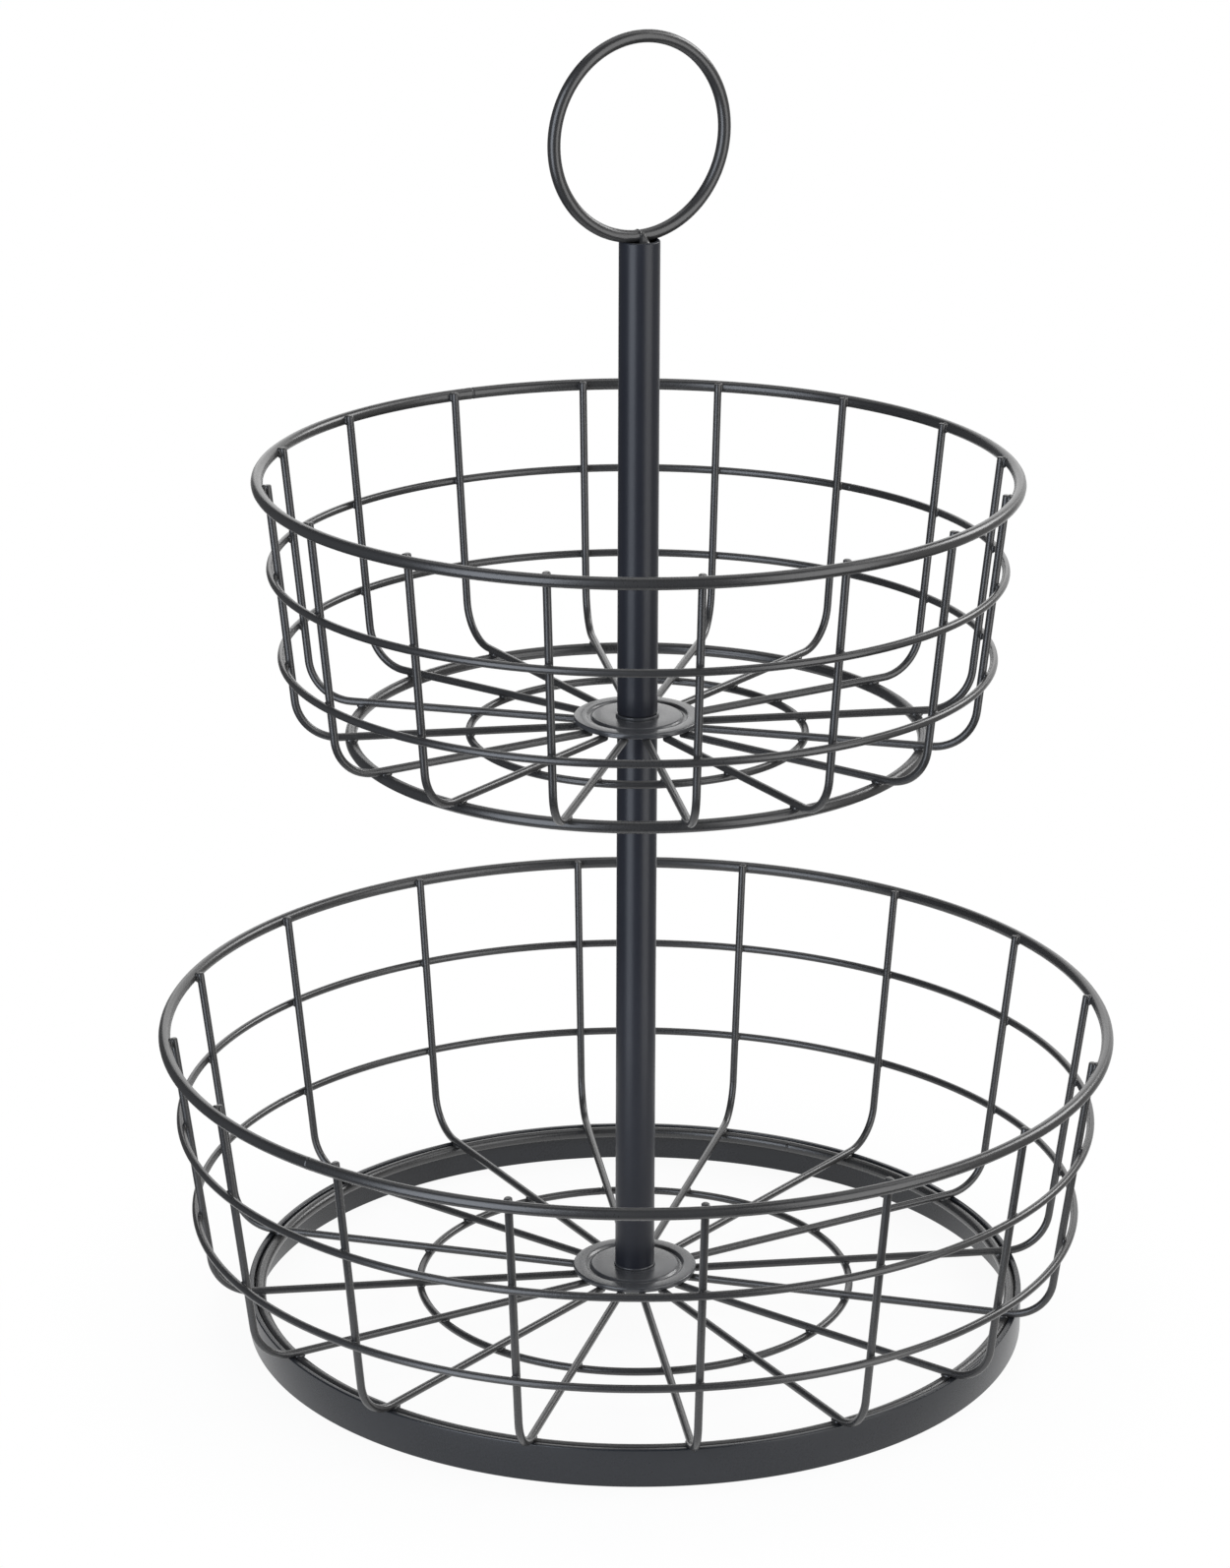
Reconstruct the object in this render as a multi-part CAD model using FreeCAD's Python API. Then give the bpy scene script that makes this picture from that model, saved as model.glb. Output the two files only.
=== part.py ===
import FreeCAD, Part
import math
import os

V = FreeCAD.Vector
os.makedirs("parts", exist_ok=True)

# Two-tier wire basket stand: two round wire baskets on a screwed tube post with a ring handle.
# Millimetres, +Z up. The origin is the centre of the foot band's underside, on the table.

# Wire and sheet stock
rim_wire = 3.8
thin_wire = 2.5
handle_wire = 4.0
weld_sink = 0.2
plate_sink = 0.12
strip_gap = 0.05

# Foot band under the lower basket: a flat strip rolled on edge
band_outer_radius = 125.8
band_height = 12.5
band_thickness = 1.8

# Baskets: every rib is one wire, bent from the wall into a floor spoke
rib_count = 16
rib_bend_radius = 14.0
rib_inner_end = 16.9
rib_above_rim = 1.6

lower_rim_radius = 150.5
lower_rim_height = 101.2
lower_hoop_heights = {"lower_basket_high_hoop": 72.5, "lower_basket_low_hoop": 40.9}
lower_lean = math.radians(7.4)
lower_floor_ring_radius = 70.0
lower_first_rib = 8.0

upper_rim_radius = 117.3
upper_rim_height = 281.9
upper_hoop_heights = {"upper_basket_high_hoop": 254.1, "upper_basket_low_hoop": 225.6}
upper_lean = math.radians(5.9)
upper_floor_ring_radius = 52.7
upper_base_ring_radius = 89.7
upper_first_rib = 9.3
upper_spoke_height = 201.7

# Pressed hub plates
hub_radius = 20.0
hub_thickness = 1.8
hub_edge_round = 0.5
bead_radius = 15.0
bead_width = 2.2
bead_depth = 0.8

# Tube post in two lengths, screwed together through the upper hub plate
tube_diameter = 12.7
tube_wall = 1.0
tube_edge_round = 0.6
post_top = 355.9
thread_diameter = 6.0
thread_slack = 0.05
clear_hole = 6.6
plug_length = 12.0
joint_stud_reach = 9.5
joint_stud_root = 10.0
spacer_diameter = 13.6
spacer_thickness = 0.8

# Fastener under the lower hub plate
base_washer_diameter = 12.0
base_washer_thickness = 1.0
nut_across_flats = 10.0
nut_hex_height = 5.0
nut_height = 9.0
nut_bore_depth = 7.0
nut_dome_radius = 4.6
nut_chamfer = 0.5
base_stud_root = 10.0

# Ring handle welded across the open top of the post
handle_radius = 30.3
handle_turn = 32.3
handle_sink = 0.8

Z = V(0, 0, 1)


def save(node, shape):
    """Write one closed solid as its own file."""
    if not shape.isValid() or len(shape.Solids) != 1:
        raise RuntimeError(node + " is not one valid solid")
    shape.exportStep("parts/" + node + ".step")


def wire_ring(radius, height, wire):
    """A level hoop of round wire, closed by a butt weld."""
    return Part.makeTorus(radius, wire / 2, V(0, 0, height), Z)


def tube(outer, inner, low, high):
    """A round tube or washer on the post's axis."""
    length = high - low
    body = Part.makeCylinder(outer / 2, length, V(0, 0, low), Z)
    return body.cut(Part.makeCylinder(inner / 2, length, V(0, 0, low), Z))


def rib_line(rim_radius, rim_height, lean, spoke_height):
    """The rib's wall line: its distance from the axis at the rim, and where it meets the spoke's level."""
    at_rim = rim_radius - rim_wire / 2 - (thin_wire / 2 - weld_sink) / math.cos(lean)
    corner = at_rim - (rim_height - spoke_height) * math.tan(lean)
    return at_rim, corner


def bent_rib(rim_radius, rim_height, lean, spoke_height):
    """One rib in the XZ plane: cut end above the rim, leaning wall, round bend, spoke to the hub."""
    at_rim, corner = rib_line(rim_radius, rim_height, lean, spoke_height)
    up_wall = V(math.sin(lean), 0, math.cos(lean))
    inward = V(-1, 0, 0)
    turn = math.pi / 2 - lean
    tangent = rib_bend_radius * math.tan(turn / 2)
    bend_corner = V(corner, 0, spoke_height)
    top = V(at_rim, 0, rim_height) + up_wall * rib_above_rim
    wall_foot = bend_corner + up_wall * tangent
    spoke_start = bend_corner + inward * tangent
    spoke_end = V(rib_inner_end, 0, spoke_height)
    centre = spoke_start + Z * rib_bend_radius
    towards_corner = (bend_corner - centre).normalize()
    bend_middle = centre + towards_corner * rib_bend_radius
    path = Part.Wire([
        Part.LineSegment(top, wall_foot).toShape(),
        Part.Arc(wall_foot, bend_middle, spoke_start).toShape(),
        Part.LineSegment(spoke_start, spoke_end).toShape(),
    ])
    section = Part.Wire(Part.makeCircle(thin_wire / 2, top, up_wall))
    return path.makePipeShell([section], True, False)


def hoop_radius(rim_radius, rim_height, lean, height):
    """A hoop's radius where it lies against the outside of the leaning ribs."""
    at_rim = rib_line(rim_radius, rim_height, lean, rim_height)[0]
    at_hoop = at_rim - (rim_height - height) * math.tan(lean)
    return at_hoop + (thin_wire - weld_sink) / math.cos(lean)


def hub_plate(underside):
    """A round steel plate with a ring bead pressed down into it and a hole for the thread, as one section."""
    top = underside + hub_thickness
    hole = clear_hole / 2
    bead_in = bead_radius - bead_width / 2
    bead_out = bead_radius + bead_width / 2
    edge = hub_radius - hub_edge_round
    bulge = hub_edge_round * (1 - math.sqrt(0.5))

    def line(r0, z0, r1, z1):
        return Part.LineSegment(V(r0, 0, z0), V(r1, 0, z1)).toShape()

    def arc(r0, z0, r1, z1, r2, z2):
        return Part.Arc(V(r0, 0, z0), V(r1, 0, z1), V(r2, 0, z2)).toShape()

    section = Part.Wire([
        line(hole, top, bead_in, top),
        arc(bead_in, top, bead_radius, top - bead_depth, bead_out, top),
        line(bead_out, top, edge, top),
        arc(edge, top, hub_radius - bulge, top - bulge, hub_radius, top - hub_edge_round),
        line(hub_radius, top - hub_edge_round, hub_radius, underside + hub_edge_round),
        arc(hub_radius, underside + hub_edge_round, hub_radius - bulge, underside + bulge, edge, underside),
        line(edge, underside, bead_out, underside),
        arc(bead_out, underside, bead_radius, underside - bead_depth, bead_in, underside),
        line(bead_in, underside, hole, underside),
        line(hole, underside, hole, top),
    ])
    return Part.Face(section).revolve(V(0, 0, 0), Z, 360)


def domed_nut(seat):
    """A low domed hexagon nut hanging from its seat, with its corners chamfered and a blind thread."""
    corner = nut_across_flats / math.sqrt(3)
    hex_low = seat - nut_hex_height
    low = seat - nut_height
    dome_level = low + nut_dome_radius
    bulge = nut_dome_radius * math.sqrt(0.5)
    points = [V(corner * math.cos(math.radians(60 * k)), corner * math.sin(math.radians(60 * k)), hex_low)
              for k in range(6)]
    hexagon = Part.Face(Part.makePolygon(points + points[:1])).extrude(V(0, 0, nut_hex_height))
    chamfered = [V(0, 0, hex_low), V(nut_across_flats / 2, 0, hex_low), V(corner, 0, hex_low + nut_chamfer),
                 V(corner, 0, seat - nut_chamfer), V(nut_across_flats / 2, 0, seat), V(0, 0, seat)]
    barrel = Part.Face(Part.makePolygon(chamfered + chamfered[:1])).revolve(V(0, 0, 0), Z, 360)
    middle = (hex_low + seat) / 2
    dome_section = Part.Wire([
        Part.Arc(V(0, 0, low), V(bulge, 0, dome_level - bulge), V(nut_dome_radius, 0, dome_level)).toShape(),
        Part.LineSegment(V(nut_dome_radius, 0, dome_level), V(nut_dome_radius, 0, middle)).toShape(),
        Part.LineSegment(V(nut_dome_radius, 0, middle), V(0, 0, middle)).toShape(),
        Part.LineSegment(V(0, 0, middle), V(0, 0, low)).toShape(),
    ])
    dome = Part.Face(dome_section).revolve(V(0, 0, 0), Z, 360)
    thread = Part.makeCylinder(thread_diameter / 2, nut_bore_depth, V(0, 0, seat - nut_bore_depth), Z)
    return hexagon.common(barrel).fuse(dome).cut(thread)


def basket(name, rim_radius, rim_height, lean, spoke_height, hoops, floor_ring, first_rib):
    """Rim, hoops, floor ring and ribs of one basket."""
    save(name + "_rim", wire_ring(rim_radius, rim_height, rim_wire))
    for hoop, height in hoops.items():
        radius = hoop_radius(rim_radius, rim_height, lean, height)
        save(hoop, wire_ring(radius, height, thin_wire))
    ring_height = spoke_height - thin_wire + weld_sink
    save(name + "_floor_ring", wire_ring(floor_ring, ring_height, thin_wire))
    rib = bent_rib(rim_radius, rim_height, lean, spoke_height)
    for number in range(rib_count):
        angle = first_rib + number * 360 / rib_count
        save(f"{name}_rib_{number + 1:02d}", rib.rotated(V(0, 0, 0), Z, angle))


# Lower basket and its foot band
lower_spoke_height = band_height + thin_wire / 2 - plate_sink
basket("lower_basket", lower_rim_radius, lower_rim_height, lower_lean, lower_spoke_height,
       lower_hoop_heights, lower_floor_ring_radius, lower_first_rib)
band_inner_radius = band_outer_radius - band_thickness
save("foot_band", tube(2 * band_outer_radius, 2 * band_inner_radius, 0, band_height))
foot_ring_radius = band_inner_radius - strip_gap - rim_wire / 2
save("foot_ring", wire_ring(foot_ring_radius, band_height - rim_wire / 2, rim_wire))
lower_hub_underside = lower_spoke_height + thin_wire / 2 - plate_sink
lower_hub_top = lower_hub_underside + hub_thickness
save("lower_hub_plate", hub_plate(lower_hub_underside))

# Upper basket
basket("upper_basket", upper_rim_radius, upper_rim_height, upper_lean, upper_spoke_height,
       upper_hoop_heights, upper_floor_ring_radius, upper_first_rib)
upper_base_ring_height = upper_spoke_height - (thin_wire + rim_wire) / 2 + weld_sink
save("upper_basket_base_ring", wire_ring(upper_base_ring_radius, upper_base_ring_height, rim_wire))
upper_hub_underside = upper_spoke_height + thin_wire / 2 - plate_sink
upper_hub_top = upper_hub_underside + hub_thickness
save("upper_hub_plate", hub_plate(upper_hub_underside))

# Lower post: tube with a threaded plug pressed into each end
tube_bore = tube_diameter - 2 * tube_wall


def post_tube(low, high):
    """A post tube with its outer edges rounded off at both ends."""
    body = tube(tube_diameter, tube_bore, low, high)
    circles = [e for e in body.Edges if e.Curve.TypeId == "Part::GeomCircle"]
    ends = [e for e in circles if e.Curve.Radius > tube_bore / 2 + tube_wall / 2]
    return body.makeFillet(tube_edge_round, ends)


lower_post_low = lower_hub_top
lower_post_high = upper_hub_underside
save("lower_post_tube", post_tube(lower_post_low, lower_post_high))
save("lower_post_foot_plug",
     tube(tube_bore, thread_diameter, lower_post_low, lower_post_low + plug_length))
save("lower_post_head_plug",
     tube(tube_bore, thread_diameter, lower_post_high - plug_length, lower_post_high))

# Base stud, washer and domed nut that hold the lower basket to the post
washer_low = lower_hub_underside - base_washer_thickness
save("base_washer", tube(base_washer_diameter, clear_hole, washer_low, lower_hub_underside))
save("base_domed_nut", domed_nut(washer_low))
stud_low = washer_low - nut_bore_depth
stud_high = lower_post_low + base_stud_root
save("base_stud", Part.makeCylinder(thread_diameter / 2, stud_high - stud_low, V(0, 0, stud_low), Z))

# Joint stud in the lower post's head: the upper post screws down onto it
spacer_high = upper_hub_top + spacer_thickness
joint_low = lower_post_high - joint_stud_root
joint_high = spacer_high + joint_stud_reach
save("joint_stud", Part.makeCylinder(thread_diameter / 2, joint_high - joint_low, V(0, 0, joint_low), Z))

# Upper post: spacer washer, tube, threaded plug and ring handle
save("spacer_washer", tube(spacer_diameter, clear_hole, upper_hub_top, spacer_high))
save("upper_post_tube", post_tube(spacer_high, post_top))
save("upper_post_plug",
     tube(tube_bore, thread_diameter + 2 * thread_slack, spacer_high, spacer_high + plug_length))
handle_centre = V(0, 0, post_top + handle_wire / 2 - handle_sink + handle_radius)
handle_normal = V(-math.sin(math.radians(handle_turn)), math.cos(math.radians(handle_turn)), 0)
save("ring_handle", Part.makeTorus(handle_radius, handle_wire / 2, handle_centre, handle_normal))
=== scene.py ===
import math
import random

import bmesh
import bpy
from mathutils import Matrix, Vector


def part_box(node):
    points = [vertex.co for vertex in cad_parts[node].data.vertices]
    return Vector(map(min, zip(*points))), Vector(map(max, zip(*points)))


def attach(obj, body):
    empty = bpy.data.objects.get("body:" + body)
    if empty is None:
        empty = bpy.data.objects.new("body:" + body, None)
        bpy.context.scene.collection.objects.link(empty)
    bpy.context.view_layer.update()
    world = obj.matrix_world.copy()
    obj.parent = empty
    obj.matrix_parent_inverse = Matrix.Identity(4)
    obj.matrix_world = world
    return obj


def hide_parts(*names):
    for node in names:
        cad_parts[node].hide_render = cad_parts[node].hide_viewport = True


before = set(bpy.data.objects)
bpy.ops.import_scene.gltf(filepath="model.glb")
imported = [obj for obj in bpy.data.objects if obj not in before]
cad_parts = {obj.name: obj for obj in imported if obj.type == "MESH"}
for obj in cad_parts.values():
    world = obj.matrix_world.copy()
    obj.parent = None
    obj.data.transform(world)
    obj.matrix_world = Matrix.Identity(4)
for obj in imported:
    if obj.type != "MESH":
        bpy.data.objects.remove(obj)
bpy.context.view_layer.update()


# Foot band
# A flat steel strip rolled on edge into a ring, butt-welded at the back and powder-coated.
# Its edges are rounded by the coat, and the whole stand rests on the lower one.
band_strip = 0.0018
band_edge_round = 0.00045
band_steps = 480
# The band wears the wire's black powder coat, its base colour set darker and bluer: painted shade
# and a painted blue reflection.
band_shade_colour = (0.0170, 0.0186, 0.0222)
band_rough = 0.28
band_shine = 0.42
band_seam_angle = math.radians(97)
band_seam_width = 0.0022
band_seam_height = 0.00012
coat_cloud_size = 0.030
coat_grain_size = 0.0009
coat_peel_size = 0.0016
coat_peel_grain = 0.35
coat_peel_bump = 0.05
coat_peel_depth = 0.00004
coat_tone_cloud = 0.85
coat_tone_grain = 0.15
coat_darkest = 0.82
coat_lightest = 1.22
coat_gloss_cloud = 0.08
coat_gloss_grain = 0.05
crease_angle = math.radians(50)


class Shade:
    """A shader socket that takes part in Python sums: each operation adds its Math node."""

    def __init__(self, tree, socket=None):
        self.tree = tree
        self.socket = socket

    def node(self, kind, settings=(), links=()):
        """Add a node of any kind: its settings first, then the values or sockets that feed it."""
        made = self.tree.nodes.new(kind)
        for key, value in dict(settings).items():
            setattr(made, key, value)
        for key, value in dict(links).items():
            if isinstance(value, Shade):
                self.tree.links.new(value.socket, made.inputs[key])
            else:
                made.inputs[key].default_value = value
        return made

    def take(self, made, output=0):
        """One output of a node, ready for sums."""
        return Shade(self.tree, made.outputs[output])

    def math(self, operation, first, second):
        """One Math node on two values."""
        made = self.node("ShaderNodeMath", {"operation": operation}, {0: first, 1: second})
        return self.take(made)

    def __add__(self, other):
        return self.math("ADD", self, other)

    __radd__ = __add__

    def __mul__(self, other):
        return self.math("MULTIPLY", self, other)

    __rmul__ = __mul__

    def noise(self, size, detail=2.0):
        """Noise in the piece's own space, with features of the given size in metres; 0 to 1."""
        place = self.take(self.node("ShaderNodeTexCoord"), "Object")
        links = {"Vector": place, "Scale": 1 / size, "Detail": detail}
        return self.take(self.node("ShaderNodeTexNoise", (), links), "Fac")

    def between(self, low, high):
        """A colour that runs from low to high as this value runs from 0 to 1."""
        links = {"Factor": self, 6: (*low, 1), 7: (*high, 1)}
        return self.take(self.node("ShaderNodeMix", {"data_type": "RGBA"}, links), 2)

    def surface(self, made):
        """Make a finished shader node the material's surface."""
        self.node("ShaderNodeOutputMaterial", (), {"Surface": self.take(made)})


def new_material(name):
    """An empty node material, and the start of its nodes."""
    material = bpy.data.materials.new(name)
    material.use_nodes = True
    material.node_tree.nodes.clear()
    return material, Shade(material.node_tree)


def powder_coat(name, colour, rough, shine):
    """Baked powder coat: satin, with a fine orange peel and faint clouds of tone and gloss."""
    material, shade = new_material(name)
    cloud = shade.noise(coat_cloud_size, detail=3)
    grain = shade.noise(coat_grain_size)
    peel = shade.noise(coat_peel_size, detail=1) + grain * coat_peel_grain
    tone = cloud * coat_tone_cloud + grain * coat_tone_grain
    dark = [coat_darkest * c for c in colour]
    light = [coat_lightest * c for c in colour]
    smoothest = rough - (coat_gloss_cloud + coat_gloss_grain) / 2
    bump = shade.node("ShaderNodeBump", (), {
        "Strength": coat_peel_bump, "Distance": coat_peel_depth, "Height": peel})
    coat = shade.node("ShaderNodeBsdfPrincipled", (), {
        "Base Color": tone.between(dark, light),
        "Roughness": cloud * coat_gloss_cloud + grain * coat_gloss_grain + smoothest,
        "Specular IOR Level": shine,
        "Normal": shade.take(bump),
    })
    shade.surface(coat)
    return material


def placed(name, mesh, material):
    """Put a mesh into the scene as one object of one material."""
    mesh.materials.append(material)
    piece = bpy.data.objects.new(name, mesh)
    bpy.context.scene.collection.objects.link(piece)
    return piece


def piece_from(name, points, faces, material, body, slot, node=None):
    """One smooth piece in the part's own frame, on its body and in place of its CAD node, if any."""
    mesh = bpy.data.meshes.new(name)
    mesh.from_pydata(points, [], faces)
    cleaner = bmesh.new()
    cleaner.from_mesh(mesh)
    bmesh.ops.recalc_face_normals(cleaner, faces=cleaner.faces)
    cleaner.to_mesh(mesh)
    cleaner.free()
    mesh.shade_smooth()
    mesh.set_sharp_from_angle(angle=crease_angle)
    piece = placed(name, mesh, material)
    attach(piece, body)
    if node:
        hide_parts(node)


def turned(outline, angles):
    """Points and faces of a closed (radius, height) outline carried round the post's axis."""
    count = len(outline)
    turns = len(angles)
    points = [(r * math.cos(a), r * math.sin(a), z) for a in angles for r, z in outline]
    faces = []
    for turn in range(turns):
        here = turn * count
        ahead = (turn + 1) % turns * count
        for k in range(count):
            along = (k + 1) % count
            faces.append((here + k, ahead + k, ahead + along, here + along))
    return points, faces


def full_turn(steps):
    """Evenly spaced angles of one full turn."""
    return [2 * math.pi * k / steps for k in range(steps)]


def corner(r, z, from_angle, bend, steps=4):
    """A rounded corner of a turned outline: a quarter circle about (r, z)."""
    arc = [math.radians(from_angle + 90 * k / steps) for k in range(steps + 1)]
    return [(r + bend * math.cos(a), z + bend * math.sin(a)) for a in arc]


def strip_outline(inside, outside, low, high, bend):
    """A rectangular section with rounded corners, from its outer top corner to its outer foot."""
    outline = corner(outside - bend, high - bend, 0, bend)
    outline += corner(inside + bend, high - bend, 90, bend)
    outline += corner(inside + bend, low + bend, 180, bend)
    outline += corner(outside - bend, low + bend, 270, bend)
    return outline


band_low, band_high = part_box("foot_band")
band_radius = (band_high.x - band_low.x) / 2
band_inside = band_radius - band_strip
band_outline = strip_outline(
    band_inside, band_radius, band_low.z, band_high.z, band_edge_round)
band_coat = powder_coat("band_coat", band_shade_colour, band_rough, band_shine)
band_points, band_faces = turned(band_outline, full_turn(band_steps))


def seam_ridge(point):
    """Push a band point outwards where the ground-down butt weld stands a little proud."""
    x, y, z = point
    angle = math.atan2(y, x)
    along = (angle - band_seam_angle) * band_radius / band_seam_width
    grow = 1 + band_seam_height / band_radius * math.exp(-along * along)
    return x * grow, y * grow, z


piece_from("foot_band_strip", [seam_ridge(p) for p in band_points], band_faces,
           band_coat, "base", "band_coat", "foot_band")


# Foot ring
# A thick wire hoop nested inside the band, level with its top edge, that stiffens the foot and
# carries the floor spokes. Like every hoop it is cut to length, rolled and butt-welded.
rim_gauge = 0.0038
foot_ring_seam = 64
wire_colour = (0.0340, 0.0334, 0.0335)
wire_rough = 0.28
wire_shine = 0.6
wire_sides = 16
hoop_steps = 240
# A seam's offsets and reaches are in millimetres, its upset and groove in shares of the radius.
seam_offsets = (-2.6, -1.9, -1.3, -0.9, -0.6, -0.35, -0.15, 0,
                0.15, 0.35, 0.6, 0.9, 1.3, 1.9, 2.6)
seam_upset = 0.035
seam_upset_reach = 1.1
seam_groove = 0.085
seam_groove_reach = 0.28
upright = Vector((0, 0, 1))
wire_coat = powder_coat("wire_coat", wire_colour, wire_rough, wire_shine)


def swept_wire(line, radii, plane, closed):
    """Points and faces of round wire along a line square to plane; an open wire gets flat ends."""
    points = []
    last = len(line) - 1
    for k, centre in enumerate(line):
        before = line[k - 1] if k or closed else centre
        after = line[(k + 1) % len(line)] if k < last or closed else centre
        side = (after - before).normalized().cross(plane)
        for step in range(wire_sides):
            turn = 2 * math.pi * step / wire_sides
            points.append(centre + radii[k] * (math.cos(turn) * side + math.sin(turn) * plane))
    faces = []
    for k in range(len(line) if closed else last):
        here = k * wire_sides
        ahead = (k + 1) % len(line) * wire_sides
        for step in range(wire_sides):
            along = (step + 1) % wire_sides
            faces.append((here + step, ahead + step, ahead + along, here + along))
    if not closed:
        faces.append(tuple(range(wire_sides)))
        faces.append(tuple(range(last * wire_sides, (last + 1) * wire_sides)))
    return points, faces


def seam_girth(offset, upset, reach, groove):
    """How much thicker the wire is at an offset from the middle of its butt weld."""
    swell = upset * math.exp(-(offset / reach) ** 2)
    notch = groove * math.exp(-(offset / seam_groove_reach) ** 2)
    return 1 + swell - notch


def hoop_angles(seam, radius, steps):
    """Angles round a hoop whose seam is at an angle in degrees: close at the seam, then even."""
    close = [math.radians(seam) + offset / 1000 / radius for offset in seam_offsets]
    rest = 2 * math.pi - (close[-1] - close[0])
    return close + [close[-1] + rest * k / steps for k in range(1, steps)]


def hoop_radii(gauge, steps, upset, reach, groove):
    """The wire's own radius at each of those angles."""
    girths = [seam_girth(offset, upset, reach, groove) for offset in seam_offsets]
    girths += [1.0] * (steps - 1)
    return [gauge / 2 * girth for girth in girths]


def hoop_size(node, gauge):
    """Radius and height of a hoop's centre line, from its CAD box."""
    low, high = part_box(node)
    return (high.x - low.x - gauge) / 2, (low.z + high.z) / 2


def wire_hoop(node, gauge, body, seam):
    """A level butt-welded hoop in place of its CAD node."""
    radius, height = hoop_size(node, gauge)
    angles = hoop_angles(seam, radius, hoop_steps)
    line = [Vector((radius * math.cos(a), radius * math.sin(a), height)) for a in angles]
    radii = hoop_radii(gauge, hoop_steps, seam_upset, seam_upset_reach, seam_groove)
    points, faces = swept_wire(line, radii, upright, True)
    piece_from(node + "_wire", points, faces, wire_coat, body, "wire_coat", node)


wire_hoop("foot_ring", rim_gauge, "base", foot_ring_seam)


# Lower basket
# Sixteen ribs, each one wire bent from the wall into a floor spoke, stand inside a thick rim and
# two thin hoops and on a thin floor ring. Every crossing is resistance-welded before coating.
thin_gauge = 0.0025
rib_count = 16
rib_bend = 0.014
rib_above_rim = 0.0016
spoke_inner_end = 0.0169
weld_sink = 0.0002
cut_edge = 0.0002
wall_steps = 20
bend_steps = 16
spoke_steps = 20
thin_bead = (0.00140, 0.00140, 0.00066)
rim_bead = (0.00140, 0.00180, 0.00078)
bead_growth = (0.92, 1.08)
bead_squareness = 0.75
bead_subdivisions = 3
weld_size = random.Random(16)
lower_lean = math.radians(7.4)
lower_first_rib = 8.0
# Where the rim, the high hoop, the low hoop and the floor ring are butted, in degrees.
lower_seams = (230, 31, 148, 99.5)


def rib_angles(first):
    """The angle of each rib, from that of the first in degrees."""
    return [math.radians(first + 360 / rib_count * k) for k in range(rib_count)]


def rib_line(rim_radius, rim_height, lean, spoke_height):
    """The rib's centre line in the XZ plane, from its cut end above the rim down to the hub."""
    at_rim = rim_radius - rim_gauge / 2 - (thin_gauge / 2 - weld_sink) / math.cos(lean)
    foot = at_rim - (rim_height - spoke_height) * math.tan(lean)
    up_wall = Vector((math.sin(lean), 0, math.cos(lean)))
    turn = math.pi / 2 - lean
    tangent = rib_bend * math.tan(turn / 2)
    bend_corner = Vector((foot, 0, spoke_height))
    top = Vector((at_rim, 0, rim_height)) + up_wall * rib_above_rim
    wall_foot = bend_corner + up_wall * tangent
    spoke_start = bend_corner - Vector((tangent, 0, 0))
    spoke_end = Vector((spoke_inner_end, 0, spoke_height))
    centre = spoke_start + Vector((0, 0, rib_bend))
    line = [top.lerp(wall_foot, k / wall_steps) for k in range(wall_steps)]
    for k in range(bend_steps):
        angle = turn * (1 - k / bend_steps)
        line.append(centre + rib_bend * Vector((math.sin(angle), 0, -math.cos(angle))))
    line += [spoke_start.lerp(spoke_end, k / spoke_steps) for k in range(spoke_steps + 1)]
    return line


def broken_ends(line):
    """Add a point close to either end, so that the cut ends can have a broken edge."""
    first = line[0] + (line[1] - line[0]).normalized() * cut_edge
    final = line[-1] + (line[-2] - line[-1]).normalized() * cut_edge
    return [line[0], first] + line[1:-1] + [final, line[-1]]


def weld_beads(name, spots, body):
    """Small squeezed-out beads where wires cross: one mesh, each bead square to the two wires."""
    beads = bmesh.new()
    for centre, along, across, size in spots:
        out = along.cross(across).normalized()
        bead = bmesh.ops.create_icosphere(beads, subdivisions=bead_subdivisions, radius=1)
        grow = weld_size.uniform(*bead_growth)
        for vertex in bead["verts"]:
            flat = [math.copysign(abs(c) ** bead_squareness, c) for c in vertex.co]
            a, b, c = (f * s * grow for f, s in zip(flat, size))
            vertex.co = centre + along * a + across * b + out * c
    mesh = bpy.data.meshes.new(name)
    beads.to_mesh(mesh)
    beads.free()
    mesh.shade_smooth()
    piece = placed(name, mesh, wire_coat)
    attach(piece, body)


def crossing(angle, radius, height, lean=None):
    """A weld's place and the directions of its two wires; with no lean, on a level spoke."""
    outward = Vector((math.cos(angle), math.sin(angle), 0))
    sideways = Vector((-math.sin(angle), math.cos(angle), 0))
    along_rib = outward
    if lean is not None:
        along_rib = outward * math.sin(lean) + Vector((0, 0, math.cos(lean)))
    return outward * radius + Vector((0, 0, height)), sideways, along_rib


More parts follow.
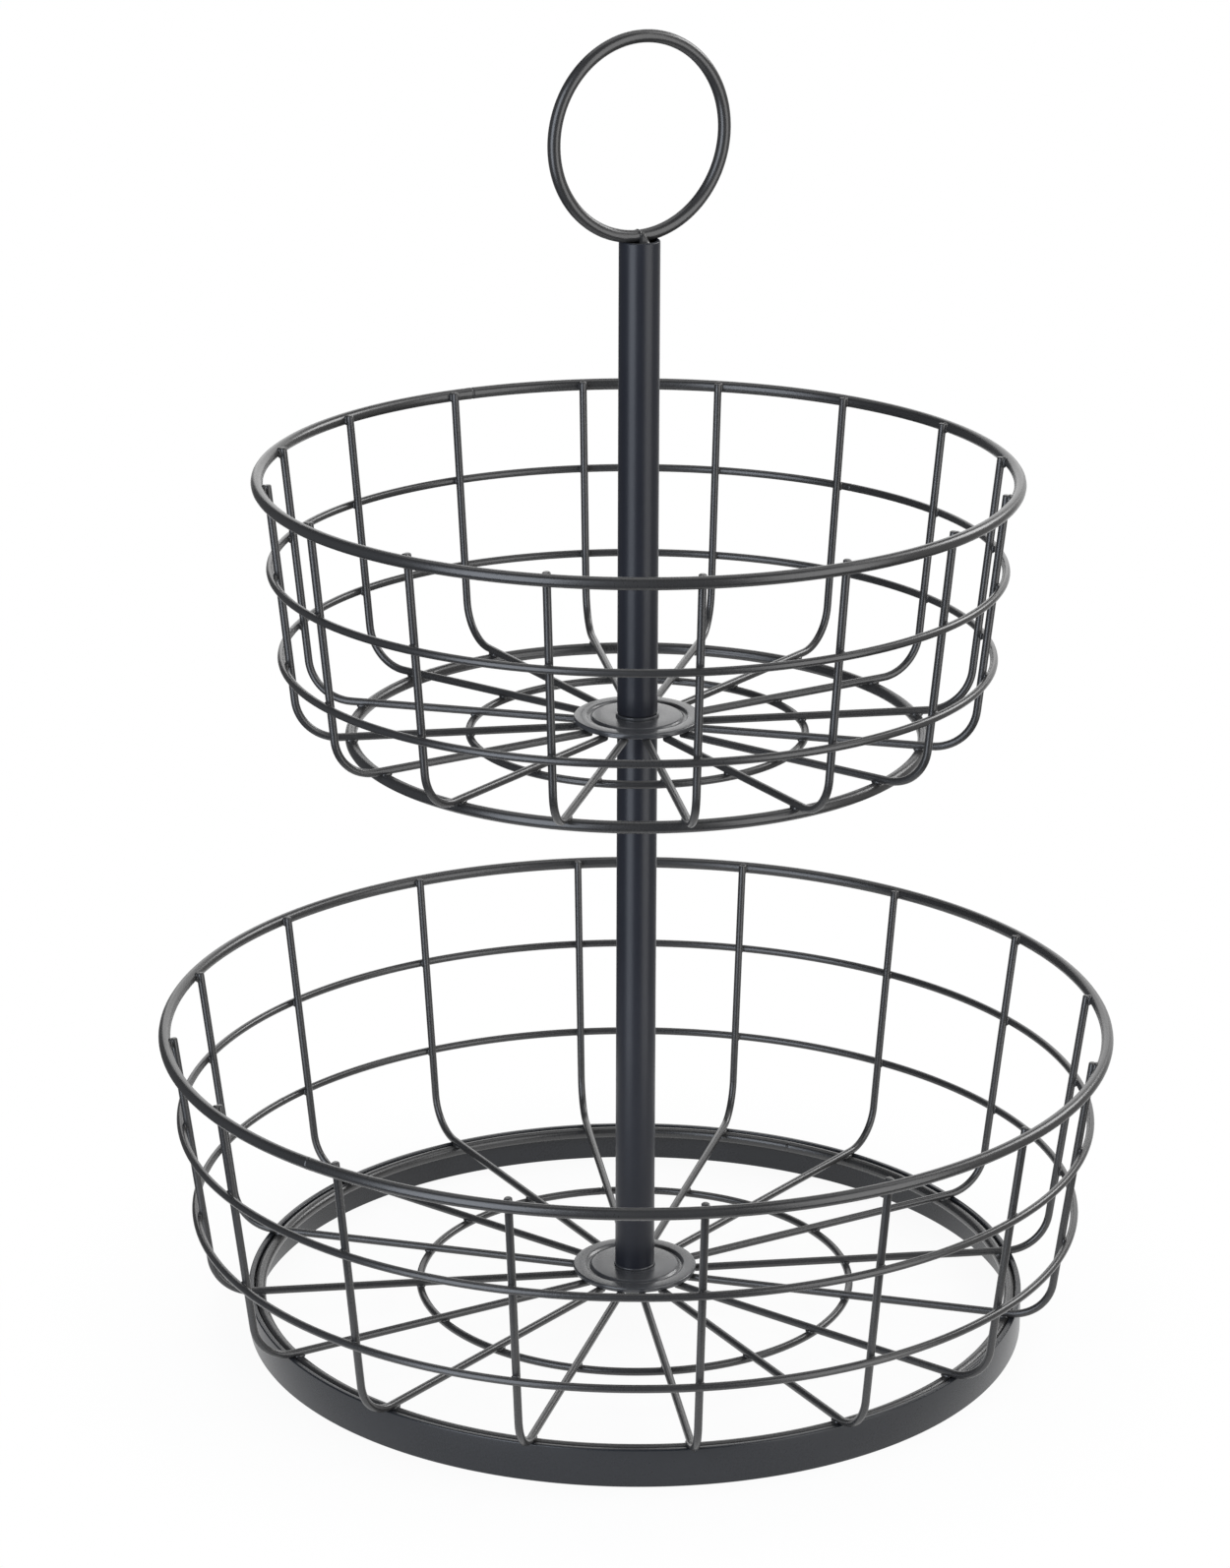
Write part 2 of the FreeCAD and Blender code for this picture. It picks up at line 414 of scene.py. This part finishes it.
def wire_basket(basket, body, lean, first_rib, seams):
    """Rim, hoops, floor ring, ribs and weld beads of one basket."""
    rim = basket + "_rim"
    hoops = (basket + "_high_hoop", basket + "_low_hoop")
    floor_ring = basket + "_floor_ring"
    for node, seam in zip((rim, *hoops, floor_ring), seams):
        gauge = rim_gauge if node == rim else thin_gauge
        wire_hoop(node, gauge, body, seam)
    rim_radius, rim_height = hoop_size(rim, rim_gauge)
    spoke_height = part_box(basket + "_rib_01")[0].z + thin_gauge / 2
    line = broken_ends(rib_line(rim_radius, rim_height, lean, spoke_height))
    radii = [thin_gauge / 2] * len(line)
    radii[0] -= cut_edge
    radii[-1] -= cut_edge
    points, faces = swept_wire(line, radii, Vector((0, 1, 0)), False)
    spots = []
    for number, angle in enumerate(rib_angles(first_rib)):
        node = f"{basket}_rib_{number + 1:02d}"
        turn = Matrix.Rotation(angle, 3, "Z")
        piece_from(node + "_wire", [turn @ p for p in points], faces,
                   wire_coat, body, "wire_coat", node)
        spots.append((*crossing(angle, rim_radius - rim_gauge / 2, rim_height, lean), rim_bead))
        for hoop in hoops:
            radius, height = hoop_size(hoop, thin_gauge)
            spots.append((*crossing(angle, radius - thin_gauge / 2, height, lean), thin_bead))
        radius, height = hoop_size(floor_ring, thin_gauge)
        spots.append((*crossing(angle, radius, height + thin_gauge / 2), thin_bead))
    weld_beads(basket + "_welds", spots, body)


def thick_ring_welds(name, ring, first_rib, body):
    """Weld beads where the spokes lie on the thick ring under them."""
    radius, height = hoop_size(ring, rim_gauge)
    spots = []
    for angle in rib_angles(first_rib):
        spots.append((*crossing(angle, radius, height + rim_gauge / 2), rim_bead))
    weld_beads(name, spots, body)


wire_basket("lower_basket", "base", lower_lean, lower_first_rib, lower_seams)
thick_ring_welds("foot_ring_welds", "foot_ring", lower_first_rib, "base")


# Lower hub plate
# A disc of sheet steel with a ring bead pressed down into it for stiffness and a hole for the
# stud. It lies on the inner ends of the spokes and is welded to them before coating.
hub_sheet = 0.0018
hub_hole = 0.0033
hub_edge_round = 0.0006
hub_steps = 160
hub_weld_bead = (0.0016, 0.0016, 0.0005)
hub_weld_inset = 0.0032
bead_radius = 0.015
bead_width = 0.0022
bead_depth = 0.0008
bead_shoulder = 0.0003
bead_steps = 16
# The plates wear the wire's black powder coat, its base colour set lighter: painted light.
plate_light_colour = (0.0500, 0.0510, 0.0545)
plate_rough = 0.23
plate_shine = 0.6
plate_coat = powder_coat("plate_coat", plate_light_colour, plate_rough, plate_shine)


def pressed_groove(height, outwards):
    """The rounded groove of the ring bead, its shoulders eased, read outwards or inwards."""
    half = bead_width / 2 + bead_shoulder
    groove = []
    for k in range(bead_steps + 1):
        across = 2 * k / bead_steps - 1
        drop = bead_depth * (0.5 + 0.5 * math.cos(math.pi * across))
        groove.append((bead_radius + half * across, height - drop))
    return groove if outwards else groove[::-1]


def hub_plate(node, body):
    """A pressed hub plate in place of its CAD node."""
    low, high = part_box(node)
    radius = (high.x - low.x) / 2
    top = high.z
    under = top - hub_sheet
    edge = radius - hub_edge_round
    hole_edge = hub_hole + hub_edge_round
    outline = corner(edge, under + hub_edge_round, 270, hub_edge_round)
    outline += corner(edge, top - hub_edge_round, 0, hub_edge_round)
    outline += pressed_groove(top, False)
    outline += corner(hole_edge, top - hub_edge_round, 90, hub_edge_round)
    outline += corner(hole_edge, under + hub_edge_round, 180, hub_edge_round)
    outline += pressed_groove(under, True)
    points, faces = turned(outline, full_turn(hub_steps))
    piece_from(node + "_pressing", points, faces, plate_coat, body, "plate_coat", node)


def hub_welds(name, node, first_rib, body):
    """Weld beads where the spokes run under the edge of a hub plate."""
    low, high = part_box(node)
    radius = (high.x - low.x) / 2 - hub_weld_inset
    height = high.z - hub_sheet
    spots = [(*crossing(angle, radius, height), hub_weld_bead) for angle in rib_angles(first_rib)]
    weld_beads(name, spots, body)


hub_plate("lower_hub_plate", "base")
hub_welds("lower_hub_welds", "lower_hub_plate", lower_first_rib, "base")


# Base stud, washer and domed nut
# A stud screwed up into the lower post comes out under the hub plate, where a washer and a low
# domed hexagon nut, all zinc-plated, pull the plate against the post. The zinc is set to a dark
# grey: its own grey, darkened further as painted shade under the plate.
zinc_shade_colour = (0.105, 0.112, 0.103)
zinc_darkest = 0.75
zinc_lightest = 1.15
zinc_cloud_size = 0.004
zinc_scratch_size = 0.0004
zinc_rough = 0.30
zinc_gloss_cloud = 0.20
zinc_gloss_scratch = 0.08
washer_round = 0.00025
washer_hole = 0.0033
washer_steps = 64
nut_flats = 0.010
nut_hexagon = 0.005
nut_dome = 0.0046
nut_sides = 96
nut_dome_steps = 10
# The turned-off corners: depths from a face of the hexagon, and reaches in half widths.
nut_chamfer = ((0, 0.99), (0.00012, 1.04), (0.0005, 1.16))
nut_neck_drop = 0.00008
nut_neck_share = 1.01


def zinc_plate(name):
    """Zinc plating: grey metal darkened as painted shade, with faint olive clouds and uneven polish.
    """
    material, shade = new_material(name)
    cloud = shade.noise(zinc_cloud_size, detail=4)
    scratch = shade.noise(zinc_scratch_size)
    dark = [zinc_darkest * c for c in zinc_shade_colour]
    light = [zinc_lightest * c for c in zinc_shade_colour]
    metal = shade.node("ShaderNodeBsdfPrincipled", (), {
        "Base Color": cloud.between(dark, light),
        "Roughness": zinc_rough + cloud * zinc_gloss_cloud + scratch * zinc_gloss_scratch,
        "Metallic": 1.0,
    })
    shade.surface(metal)
    return material


zinc = zinc_plate("zinc_steel")


def bare_node(node):
    """Give a CAD node that stays hidden inside the post its zinc finish."""
    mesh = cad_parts[node].data
    mesh.materials.clear()
    mesh.materials.append(zinc)


def flat_washer(name, node, hole, bend, steps, material, body, slot):
    """A flat washer with rounded edges in place of its CAD node."""
    low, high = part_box(node)
    outline = strip_outline(hole, (high.x - low.x) / 2, low.z, high.z, bend)
    points, faces = turned(outline, full_turn(steps))
    piece_from(name, points, faces, material, body, slot, node)


def domed_nut(node):
    """A domed nut in place of its CAD node: a hexagon that runs down into a dome."""
    low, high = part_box(node)
    flat = nut_flats / 2
    seat = high.z
    hexagon_low = seat - nut_hexagon
    dome_level = low.z + nut_dome
    levels = [(seat - depth, flat * reach) for depth, reach in nut_chamfer]
    levels += [(hexagon_low + depth, flat * reach) for depth, reach in reversed(nut_chamfer)]
    levels += [(hexagon_low - nut_neck_drop, nut_dome * nut_neck_share), (dome_level, nut_dome)]
    for k in range(1, nut_dome_steps):
        rise = math.pi / 2 * k / nut_dome_steps
        levels.append((dome_level - nut_dome * math.sin(rise), nut_dome * math.cos(rise)))
    half_side = math.pi / 6
    points = []
    for z, limit in levels:
        for angle in full_turn(nut_sides):
            from_flat = (angle + half_side) % (2 * half_side) - half_side
            reach = min(limit, flat / math.cos(from_flat)) if z > dome_level else limit
            place = angle + half_side
            points.append((reach * math.cos(place), reach * math.sin(place), z))
    faces = []
    for ring in range(len(levels) - 1):
        here = ring * nut_sides
        ahead = here + nut_sides
        for k in range(nut_sides):
            along = (k + 1) % nut_sides
            faces.append((here + k, here + along, ahead + along, ahead + k))
    tip = len(points)
    points.append((0, 0, low.z))
    last = (len(levels) - 1) * nut_sides
    faces += [(last + k, last + (k + 1) % nut_sides, tip) for k in range(nut_sides)]
    faces.append(tuple(range(nut_sides)))
    piece_from(node + "_cap", points, faces, zinc, "base", "zinc_steel", node)


bare_node("base_stud")
flat_washer("base_washer_disc", "base_washer", washer_hole, washer_round, washer_steps,
            zinc, "base", "zinc_steel")
domed_nut("base_domed_nut")


# Lower post
# Half-inch steel tube, its cut ends rounded over, with a threaded plug pressed into each end.
# It stands in a thin collar on the lower hub plate and carries the upper one.
tube_wall = 0.0010
tube_edge_round = 0.0006
tube_edge_steps = 6
bore_edge_round = 0.0002
tube_steps = 96
collar_radius = 0.0067
collar_hole = 0.0060
collar_height = 0.0006
collar_round = 0.0002
# The tube wears the wire's black powder coat, its base colour set darker and bluer: painted shade
# and a painted blue reflection.
post_shade_colour = (0.0180, 0.0195, 0.0255)
post_rough = 0.35
post_shine = 0.33
post_coat = powder_coat("post_coat", post_shade_colour, post_rough, post_shine)


def post_tube(node, body):
    """A post tube in place of its CAD node."""
    low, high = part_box(node)
    edge = (high.x - low.x) / 2 - tube_edge_round
    bore = (high.x - low.x) / 2 - tube_wall + bore_edge_round
    outline = corner(edge, high.z - tube_edge_round, 0, tube_edge_round, tube_edge_steps)
    outline += corner(bore, high.z - bore_edge_round, 90, bore_edge_round)
    outline += corner(bore, low.z + bore_edge_round, 180, bore_edge_round)
    outline += corner(edge, low.z + tube_edge_round, 270, tube_edge_round, tube_edge_steps)
    points, faces = turned(outline, full_turn(tube_steps))
    piece_from(node + "_coated", points, faces, post_coat, body, "post_coat", node)


post_tube("lower_post_tube", "base")
collar_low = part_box("lower_post_tube")[0].z
collar_high = collar_low + collar_height
collar_outline = strip_outline(collar_hole, collar_radius, collar_low, collar_high, collar_round)
# The collar wears the plates' coat, lighter than the tube's: painted light round the post's foot.
piece_from("lower_post_collar", *turned(collar_outline, full_turn(tube_steps)),
           plate_coat, "base", "plate_coat")
for plug in ("lower_post_foot_plug", "lower_post_head_plug"):
    bare_node(plug)


# Joint stud
# A stud fixed in the head of the lower post. It passes through the upper hub plate, and the upper
# post screws down onto it.
bare_node("joint_stud")


# Upper basket
# Made as the lower one is, but smaller, with a thick wire ring under its spokes and no band.
# It drops over the joint stud and is clamped between the two post tubes.
upper_lean = math.radians(5.9)
upper_first_rib = 9.3
upper_seams = (118, 52, 171, 96)
base_ring_seam = 139
wire_basket("upper_basket", "upper_basket", upper_lean, upper_first_rib, upper_seams)
wire_hoop("upper_basket_base_ring", rim_gauge, "upper_basket", base_ring_seam)
thick_ring_welds("upper_base_ring_welds", "upper_basket_base_ring", upper_first_rib,
                 "upper_basket")
hub_plate("upper_hub_plate", "upper_basket")
hub_welds("upper_hub_welds", "upper_hub_plate", upper_first_rib, "upper_basket")


# Spacer washer
# A thin coated steel washer, a little wider than the tube, laid between the upper hub plate and
# the upper post to keep the post from scuffing the plate.
spacer_round = 0.00012
spacer_hole = 0.0033
spacer_steps = 96
# The spacer wears the plates' coat, lighter than the tube's: painted light round the post's foot.
flat_washer("spacer_washer_disc", "spacer_washer", spacer_hole, spacer_round, spacer_steps,
            plate_coat, "spacer", "plate_coat")


# Upper post
# The same coated tube as the lower post, with one threaded plug pressed into its foot, which
# screws onto the joint stud, and its top end left open.
post_tube("upper_post_tube", "handle_post")
bare_node("upper_post_plug")


# Ring handle
# One length of thick wire rolled into a ring, its ends butted over the open top of the upper post
# and welded to the tube's rim on both sides.
handle_gauge = 0.0040
handle_turn = math.radians(32.3)
handle_seam = -91.4
handle_steps = 160
handle_upset = 0.12
handle_upset_reach = 0.36
handle_groove = 0
fillet_turn = math.radians(16)
fillet_offset = 0.0006
# Each weld runs down over the tube's rim: distance out from the middle, rise and radius.
fillet_run = (
    (0.0010, 0.0024, 0.0005),
    (0.0015, 0.0020, 0.0008),
    (0.0020, 0.0013, 0.0010),
    (0.0026, 0.0005, 0.0012),
    (0.0034, -0.0003, 0.0016),
    (0.0041, -0.0010, 0.0018),
    (0.0045, -0.0016, 0.0018),
    (0.0048, -0.0024, 0.0010),
)
handle_low, handle_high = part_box("ring_handle")
handle_radius = (handle_high.z - handle_low.z - handle_gauge) / 2
handle_centre = Vector((0, 0, (handle_low.z + handle_high.z) / 2))
handle_across = Vector((math.cos(handle_turn), math.sin(handle_turn), 0))
handle_face = handle_across.cross(upright)
handle_line = []
for angle in hoop_angles(handle_seam, handle_radius, handle_steps):
    spoke = math.cos(angle) * handle_across + math.sin(angle) * upright
    handle_line.append(handle_centre + handle_radius * spoke)
handle_radii = hoop_radii(
    handle_gauge, handle_steps, handle_upset, handle_upset_reach, handle_groove)
piece_from("ring_handle_wire", *swept_wire(handle_line, handle_radii, handle_face, True),
           wire_coat, "handle_post", "wire_coat", "ring_handle")
fillet_start = handle_across * fillet_offset + Vector((0, 0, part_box("upper_post_tube")[1].z))
fillet_radii = [radius for reach, rise, radius in fillet_run]
for number, side in enumerate((1, -1)):
    forward = Vector((math.sin(fillet_turn), -math.cos(fillet_turn), 0)) * side
    fillet_line = []
    for reach, rise, radius in fillet_run:
        fillet_line.append(fillet_start + forward * reach + Vector((0, 0, rise)))
    level = forward.cross(upright)
    piece_from(f"handle_weld_{number + 1}", *swept_wire(fillet_line, fillet_radii, level, False),
               wire_coat, "handle_post", "wire_coat")


# Table and background
# A plain white table top under a plain white background. Both keep their white for the camera
# and for reflections, and the table still takes a soft shadow.
table_radius = 0.21
table_drop = 0.0001
table_steps = 96
table_matt = (0.9, 0.9, 0.9, 1)
table_glow = 0.94
shadow_radius = 0.12
pure_white = (1, 1, 1, 1)
room_light = 0.6


def seen_directly(shade):
    """1 for what the camera sees, straight or in a reflection, and 0 for light on the object."""
    path = shade.node("ShaderNodeLightPath")
    camera_ray = shade.take(path, "Is Camera Ray")
    glossy_ray = shade.take(path, "Is Glossy Ray")
    transmission_ray = shade.take(path, "Is Transmission Ray")
    return shade.math("MINIMUM", camera_ray + glossy_ray + transmission_ray, 1.0)


def white_table():
    """White for the camera but for a faint shadow, which fades out before the table's edge."""
    material, shade = new_material("table_white")
    place = shade.take(shade.node("ShaderNodeTexCoord"), "Object")
    length = shade.node("ShaderNodeVectorMath", {"operation": "LENGTH"}, {0: place})
    fade = shade.node("ShaderNodeMapRange", {"interpolation_type": "SMOOTHSTEP"}, {
        "Value": shade.take(length, "Value"),
        "From Min": shadow_radius,
        "From Max": table_radius,
        "To Min": table_glow,
        "To Max": 1.0,
    })
    matt = shade.node("ShaderNodeBsdfDiffuse", (), {"Color": table_matt})
    glow = shade.node("ShaderNodeEmission", (), {"Color": pure_white, "Strength": 1.0})
    glow_share = seen_directly(shade) * shade.take(fade)
    mix = shade.node("ShaderNodeMixShader", (), {
        "Fac": glow_share, 1: shade.take(matt), 2: shade.take(glow)})
    shade.surface(mix)
    return material


def stage_piece(name, points, faces, material):
    """A piece of the stage, which isn't part of the object."""
    mesh = bpy.data.meshes.new(name)
    mesh.from_pydata(points, [], faces)
    piece = placed(name, mesh, material)
    return piece


def level_disc(name, radius, height, steps, material):
    """A level round piece of the stage."""
    points = [(radius * math.cos(a), radius * math.sin(a), height) for a in full_turn(steps)]
    return stage_piece(name, points, [tuple(range(steps))], material)


level_disc("table", table_radius, -table_drop, table_steps, white_table())
world = bpy.data.worlds.new("white_room")
world.use_nodes = True
world.node_tree.nodes.clear()
room = Shade(world.node_tree)
soft = room.node("ShaderNodeBackground", (), {"Color": pure_white, "Strength": room_light})
white = room.node("ShaderNodeBackground", (), {"Color": pure_white, "Strength": 1.0})
blend = room.node("ShaderNodeMixShader", (), {
    "Fac": seen_directly(room), 1: room.take(soft), 2: room.take(white)})
room.node("ShaderNodeOutputWorld", (), {"Surface": room.take(blend)})
bpy.context.scene.world = world


# Studio
# Cloth hangs round the table out of the camera's sight: black in front, overhead and below, so
# that the dark coat keeps its depth, and grey at the sides. Soft boxes stand and hang inside it.
cloth_radius = 2.6
cloth_low = -1.6
cloth_high = 1.7
cloth_wall_steps = 32
cloth_level_steps = 64
cloth_black = (0.02, 0.02, 0.02, 1)
black_reach = 85
left_reach = 158
left_glow = 0.12
right_reach = 142
right_glow = 0.35


def black_cloth():
    """Black cloth that gives back hardly any light."""
    material, shade = new_material("black_cloth")
    shade.surface(shade.node("ShaderNodeBsdfDiffuse", (), {"Color": cloth_black}))
    return material


def grey_cloth(name, glow):
    """Grey cloth of an even brightness, whatever light falls on it."""
    material, shade = new_material(name)
    shade.surface(shade.node("ShaderNodeEmission", (), {"Color": pure_white, "Strength": glow}))
    return material


def cloth_wall(name, first, last, material):
    """Upright cloth between two angles, in degrees to the right of the camera's side."""
    spread = (last - first) / cloth_wall_steps
    points = []
    for k in range(cloth_wall_steps + 1):
        angle = math.radians(first + spread * k - 90)
        for z in (cloth_low, cloth_high):
            points.append((cloth_radius * math.cos(angle), cloth_radius * math.sin(angle), z))
    faces = [(2 * k, 2 * k + 2, 2 * k + 3, 2 * k + 1) for k in range(cloth_wall_steps)]
    stage_piece(name, points, faces, material).visible_camera = False


def cloth_level(name, height, material):
    """A level round of cloth, as wide as the walls."""
    cloth = level_disc(name, cloth_radius, height, cloth_level_steps, material)
    cloth.visible_camera = False


black = black_cloth()
cloth_wall("front_cloth", -black_reach, black_reach, black)
cloth_wall("left_cloth", -left_reach, -black_reach, grey_cloth("grey_cloth_left", left_glow))
cloth_wall("right_cloth", black_reach, right_reach, grey_cloth("grey_cloth_right", right_glow))
cloth_level("floor_cloth", cloth_low, black)
cloth_level("top_cloth", cloth_high, black)


def soft_box(name, place, aim, width, height, power, colour=(1, 1, 1)):
    """A rectangular lamp, in metres and watts, turned towards a height on the post's axis."""
    lamp = bpy.data.lights.new(name, "AREA")
    lamp.color = colour
    lamp.shape = "RECTANGLE"
    lamp.size = width
    lamp.size_y = height
    lamp.energy = power
    box = bpy.data.objects.new(name, lamp)
    box.location = place
    box.rotation_euler = (Vector((0, 0, aim)) - Vector(place)).to_track_quat("-Z", "Y").to_euler()
    box.visible_camera = False
    bpy.context.scene.collection.objects.link(box)


def around(angle, distance, height):
    """A place at an angle to the right of the camera's side of the table."""
    turn = math.radians(angle)
    return distance * math.sin(turn), -distance * math.cos(turn), height


soft_box("overhead_box", (0, 0.3, 1.65), aim=0.2, width=1.4, height=1.4, power=8)
soft_box("left_box", around(-39, 1.7, 0.4), aim=0.1, width=1.15, height=2.5, power=40,
         colour=(0.84, 0.90, 1.0))
soft_box("right_box", around(54, 1.7, 0.4), aim=0.1, width=1.25, height=2.5, power=28)
soft_box("back_box", (0, 2.0, 0.9), aim=0.2, width=1.6, height=1.3, power=4.5)
soft_box("rear_right_box", around(125, 1.9, 1.25), aim=0.2, width=0.9, height=0.8, power=16)
soft_box("high_right_box", around(111, 1.2, 1.5), aim=0.25, width=0.8, height=0.8, power=5.5)


# Camera
# The photograph's viewpoint: in front of the stand and higher than its handle, looking down,
# in an upright frame.
image_height = 1594
focal_pixels = 4743.3
sensor = 36.0
camera_place = Vector((0, -1.3909, 0.6573))
look_down = math.radians(18.881)
look_left = math.radians(0.285)
camera_roll = math.radians(0.186)
camera_data = bpy.data.cameras.new("camera")
camera_data.sensor_fit = "AUTO"
camera_data.sensor_width = sensor
camera_data.lens = focal_pixels / image_height * sensor
camera_data.clip_end = 100
camera = bpy.data.objects.new("camera", camera_data)
camera.matrix_world = (Matrix.Translation(camera_place)
                       @ Matrix.Rotation(look_left, 4, "Z")
                       @ Matrix.Rotation(math.pi / 2 - look_down, 4, "X")
                       @ Matrix.Rotation(camera_roll, 4, "Z"))
bpy.context.scene.collection.objects.link(camera)
bpy.context.scene.camera = camera
bpy.context.scene.view_settings.view_transform = "Standard"
